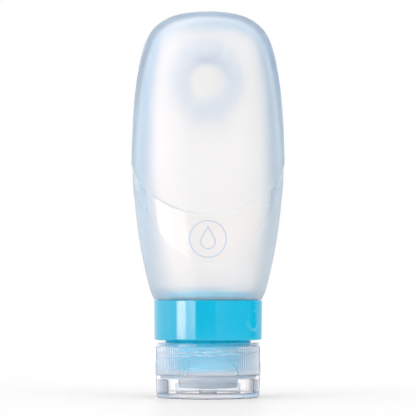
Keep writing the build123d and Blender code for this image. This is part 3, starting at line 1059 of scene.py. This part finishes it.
def mark_ink():
    """Blue-grey print on the raised lines of the mark."""
    look = Shading("mark_ink")
    look.set(IOR=1.45, Base_Color=look.colours(look.noise(300), (0.33, 0.47, 0.66), (0.40, 0.54, 0.72)),
             Roughness=look.spread(look.noise(500, 3), 0.4, 0.55))
    return look.material


def floor():
    """Pale floor that turns into the white background away from the object."""
    shaped = bmesh.new()
    bmesh.ops.create_circle(shaped, cap_ends=True, segments=96, radius=0.8)
    piece = placed("floor", as_mesh("floor", shaped))
    piece.location.z = -0.02 * MM
    look = Shading("pale_floor")
    look.set(Roughness=0.4, IOR=1.35, Base_Color=(0.95, 0.95, 0.95),
             Alpha=look.spread(look.distance((0, 0, 0)), 1, 0, 0.4, 0.75))
    piece.data.materials.append(look.material)
    piece.is_shadow_catcher = True


def soft_lamp(name, bearing, elevation, size, brightness, colour=(1, 1, 1)):
    """Square softbox, one metre from the bottle's middle, at a bearing from the camera's side."""
    middle = Vector((0, 0, 0.07))
    data = bpy.data.lights.new(name, "AREA")
    data.size = size
    data.energy = brightness * math.pi * size * size
    data.color = colour
    lamp = placed(name, data)
    a, e = math.radians(bearing), math.radians(elevation)
    way = Vector((math.sin(a) * math.cos(e), -math.cos(a) * math.cos(e), math.sin(e)))
    lamp.location = middle + way
    lamp.rotation_euler = way.to_track_quat("Z", "Y").to_euler()
    lamp.visible_camera = False
    lamp.visible_transmission = False
    lamp.visible_glossy = False


def studio():
    """Soft lamps, and a world with zones of its own for gloss, clear parts and milky parts."""
    soft_lamp("key_lamp", -50, 25, 0.6, 0.2)
    soft_lamp("fill_lamp", 45, 25, 0.6, 1.2, (1, 0.95, 0.88))
    soft_lamp("top_lamp", 0, 80, 0.9, 0.5)
    world = bpy.data.worlds.new("studio")
    bpy.context.scene.world = world
    world.use_nodes = True
    world.node_tree.nodes.clear()
    room = Nodes(world.node_tree)
    x, y, z = room.axes(room.node("ShaderNodeTexCoord").outputs["Generated"])
    bearing = room.math("ARCTAN2", x, room.math("MULTIPLY_ADD", y, -1, 0))
    share = room.math("MULTIPLY_ADD", bearing, 1 / full_turn, 0.5)

    def light(colour, strength=1.0):
        return room.fed("ShaderNodeBackground", {"Color": colour, "Strength": strength}).outputs[0]

    def zoned(zones, strength, overhead=None):
        """Light from (degrees, red, green, blue) by bearing, and of one colour overhead."""
        ramp = room.fed("ShaderNodeValToRGB", {"Fac": share})
        stops = ramp.color_ramp.elements
        while len(stops) < len(zones):
            stops.new(0.5)
        for stop, (degrees, *colour) in zip(stops, zones):
            stop.position = degrees / 360 + 0.5
            stop.color = (*(part / strength for part in colour), 1)
        colour = ramp.outputs["Color"]
        if overhead:
            height = room.spread(z, 0, 1, 0.3, 0.75)
            colour = room.colours(height, colour, [part / strength for part in overhead])
        return light(colour, strength)

    gloss = zoned([
        (-180, 1.0, 1.0, 1.0), (-120, 1.4, 1.4, 1.4), (-89, 1.8, 1.7, 1.6), (-72, 1.6, 1.5, 1.4),
        (-66, 14.5, 10, 8.5), (-50, 14.5, 10, 8.5), (-47, 5.2, 4.0, 3.5), (-27.4, 6.8, 5.2, 4.5),
        (-26.2, 0.1, 0.1, 0.1), (15.5, 0.1, 0.1, 0.1), (16.8, 0.8, 0.72, 0.6),
        (45, 0.4, 0.39, 0.35), (103.5, 0.2, 0.2, 0.2), (104.5, 0.02, 0.02, 0.02),
        (119, 0.02, 0.02, 0.02), (121, 0.5, 0.5, 0.5), (180, 0.9, 0.9, 0.9)], 16)
    through_clear = zoned([
        (-180, 1.5, 1.22, 1.05), (-166, 1.34, 1.19, 1.12), (-150, 0.36, 0.66, 1.06),
        (-100, 0.2, 0.54, 1.0), (-60, 1.1, 1.2, 1.25), (-30, 1.18, 1.2, 1.22),
        (30, 1.18, 1.2, 1.22), (60, 0.8, 0.95, 1.1), (100, 0.1, 0.34, 0.58),
        (147, 0.24, 0.44, 0.72), (162, 1.74, 1.34, 1.04), (180, 1.5, 1.22, 1.05)],
        2.6, (0.6, 0.86, 1.12))
    onto_milky = zoned([
        (-180, 1.1, 1.2, 1.35), (-90, 1.2, 1.5, 1.85), (-40, 2.0, 2.35, 2.7), (30, 2.0, 2.35, 2.7),
        (60, 0.5, 0.7, 0.95), (120, 0.2, 0.35, 0.55), (180, 1.1, 1.2, 1.35)], 3)
    plain, white = light((0.985, 0.99, 1)), light((1, 1, 1))
    rays = room.node("ShaderNodeLightPath").outputs
    seen = plain
    for ray, chosen in (("Is Glossy Ray", gloss), ("Is Transmission Ray", through_clear),
                        ("Diffuse Depth", onto_milky), ("Is Diffuse Ray", plain),
                        ("Is Camera Ray", white)):
        seen = room.fed("ShaderNodeMixShader", {0: rays[ray], 1: seen, 2: chosen}).outputs[0]
    room.fed("ShaderNodeOutputWorld", {"Surface": seen})


def camera():
    """Long lens at the photograph's height, a little below the middle, looking slightly up."""
    data = bpy.data.cameras.new("camera")
    data.sensor_width = 36
    data.lens = 207.7
    data.clip_start, data.clip_end = 0.05, 20
    piece = placed("camera", data)
    piece.location = (0, -0.8695, 0.038)
    aim = Vector((0, 0, 0.0684)) - piece.location
    piece.rotation_euler = aim.to_track_quat("-Z", "Y").to_euler()
    bpy.context.scene.camera = piece


def dress(piece, material, body, slot, *nodes):
    """Gives a piece its material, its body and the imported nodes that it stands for."""
    piece.data.materials.append(material)
    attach(piece, body)
    if nodes:
        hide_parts(*nodes)


cap_clear = clear_plastic(
    "milky_polypropylene", clearness=0.96, milky=0.0, milky_top=deck_low - 0.3 * MM,
    clear_from=deck_high + 2.4 * MM, matte=0.26, shine=0.9, colour=(0.975, 0.985, 1.0), density=22)
lid_clear = clear_plastic(
    "clear_polypropylene", clearness=1.0, milky=0.6, milky_top=1.2 * MM, clear_from=1.9 * MM,
    matte=0.45, shine=0.35, colour=(0.988, 0.992, 1.0), density=18)
# Painted light: the neck is given a brighter blue than the collar's, though both are the same plastic,
# to make up for the light it lacks behind the clear cap and the silicone.
neck_blue = blue_plastic("neck_blue", (0.001, 0.64, 0.83), (0.001, 0.61, 0.81), 0.28, 0.38, 1.2)
collar_blue = blue_plastic("collar_blue", (0.004, 0.46, 0.68), (0.004, 0.44, 0.66), 0.05, 0.09, 1.5)
seal = seal_silicone()
dress(soft_body(), silicone(), "bottle", "soft_silicone", "bottle_body")
dress(threaded_neck(), neck_blue, "bottle", "blue_plastic", "neck_insert")
dress(collar(), collar_blue, "collar", "collar_plastic", "collar_ring")
dress(cup(), cup_silicone(), "bottle", "cup_silicone", "suction_cup")
dress(screw_cap(), cap_clear, "cap", "clear_plastic", "cap_base")
dress(clear_lid(), lid_clear, "lid", "clear_plastic", "flip_lid")
dress(sealing_ring(), seal, "liner", "seal_silicone", "cap_gasket")
dress(valve(), seal, "cap", "seal_silicone", "slit_valve")
dress(snap_ring(), cap_clear, "cap", "retainer_plastic", "valve_retainer")
dress(drop_mark(), mark_ink(), "bottle", "soft_silicone")
hinge = film_hinge()
hinge.data.materials.append(lid_clear)
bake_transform(hinge)
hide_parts("hinge_web")

floor()
studio()
camera()
bpy.context.scene.view_settings.view_transform = "Standard"
bounces = bpy.context.scene.cycles
bounces.max_bounces = 24
bounces.transmission_bounces = 24
bounces.diffuse_bounces = 8
bounces.glossy_bounces = 12
bpy.context.view_layer.update()
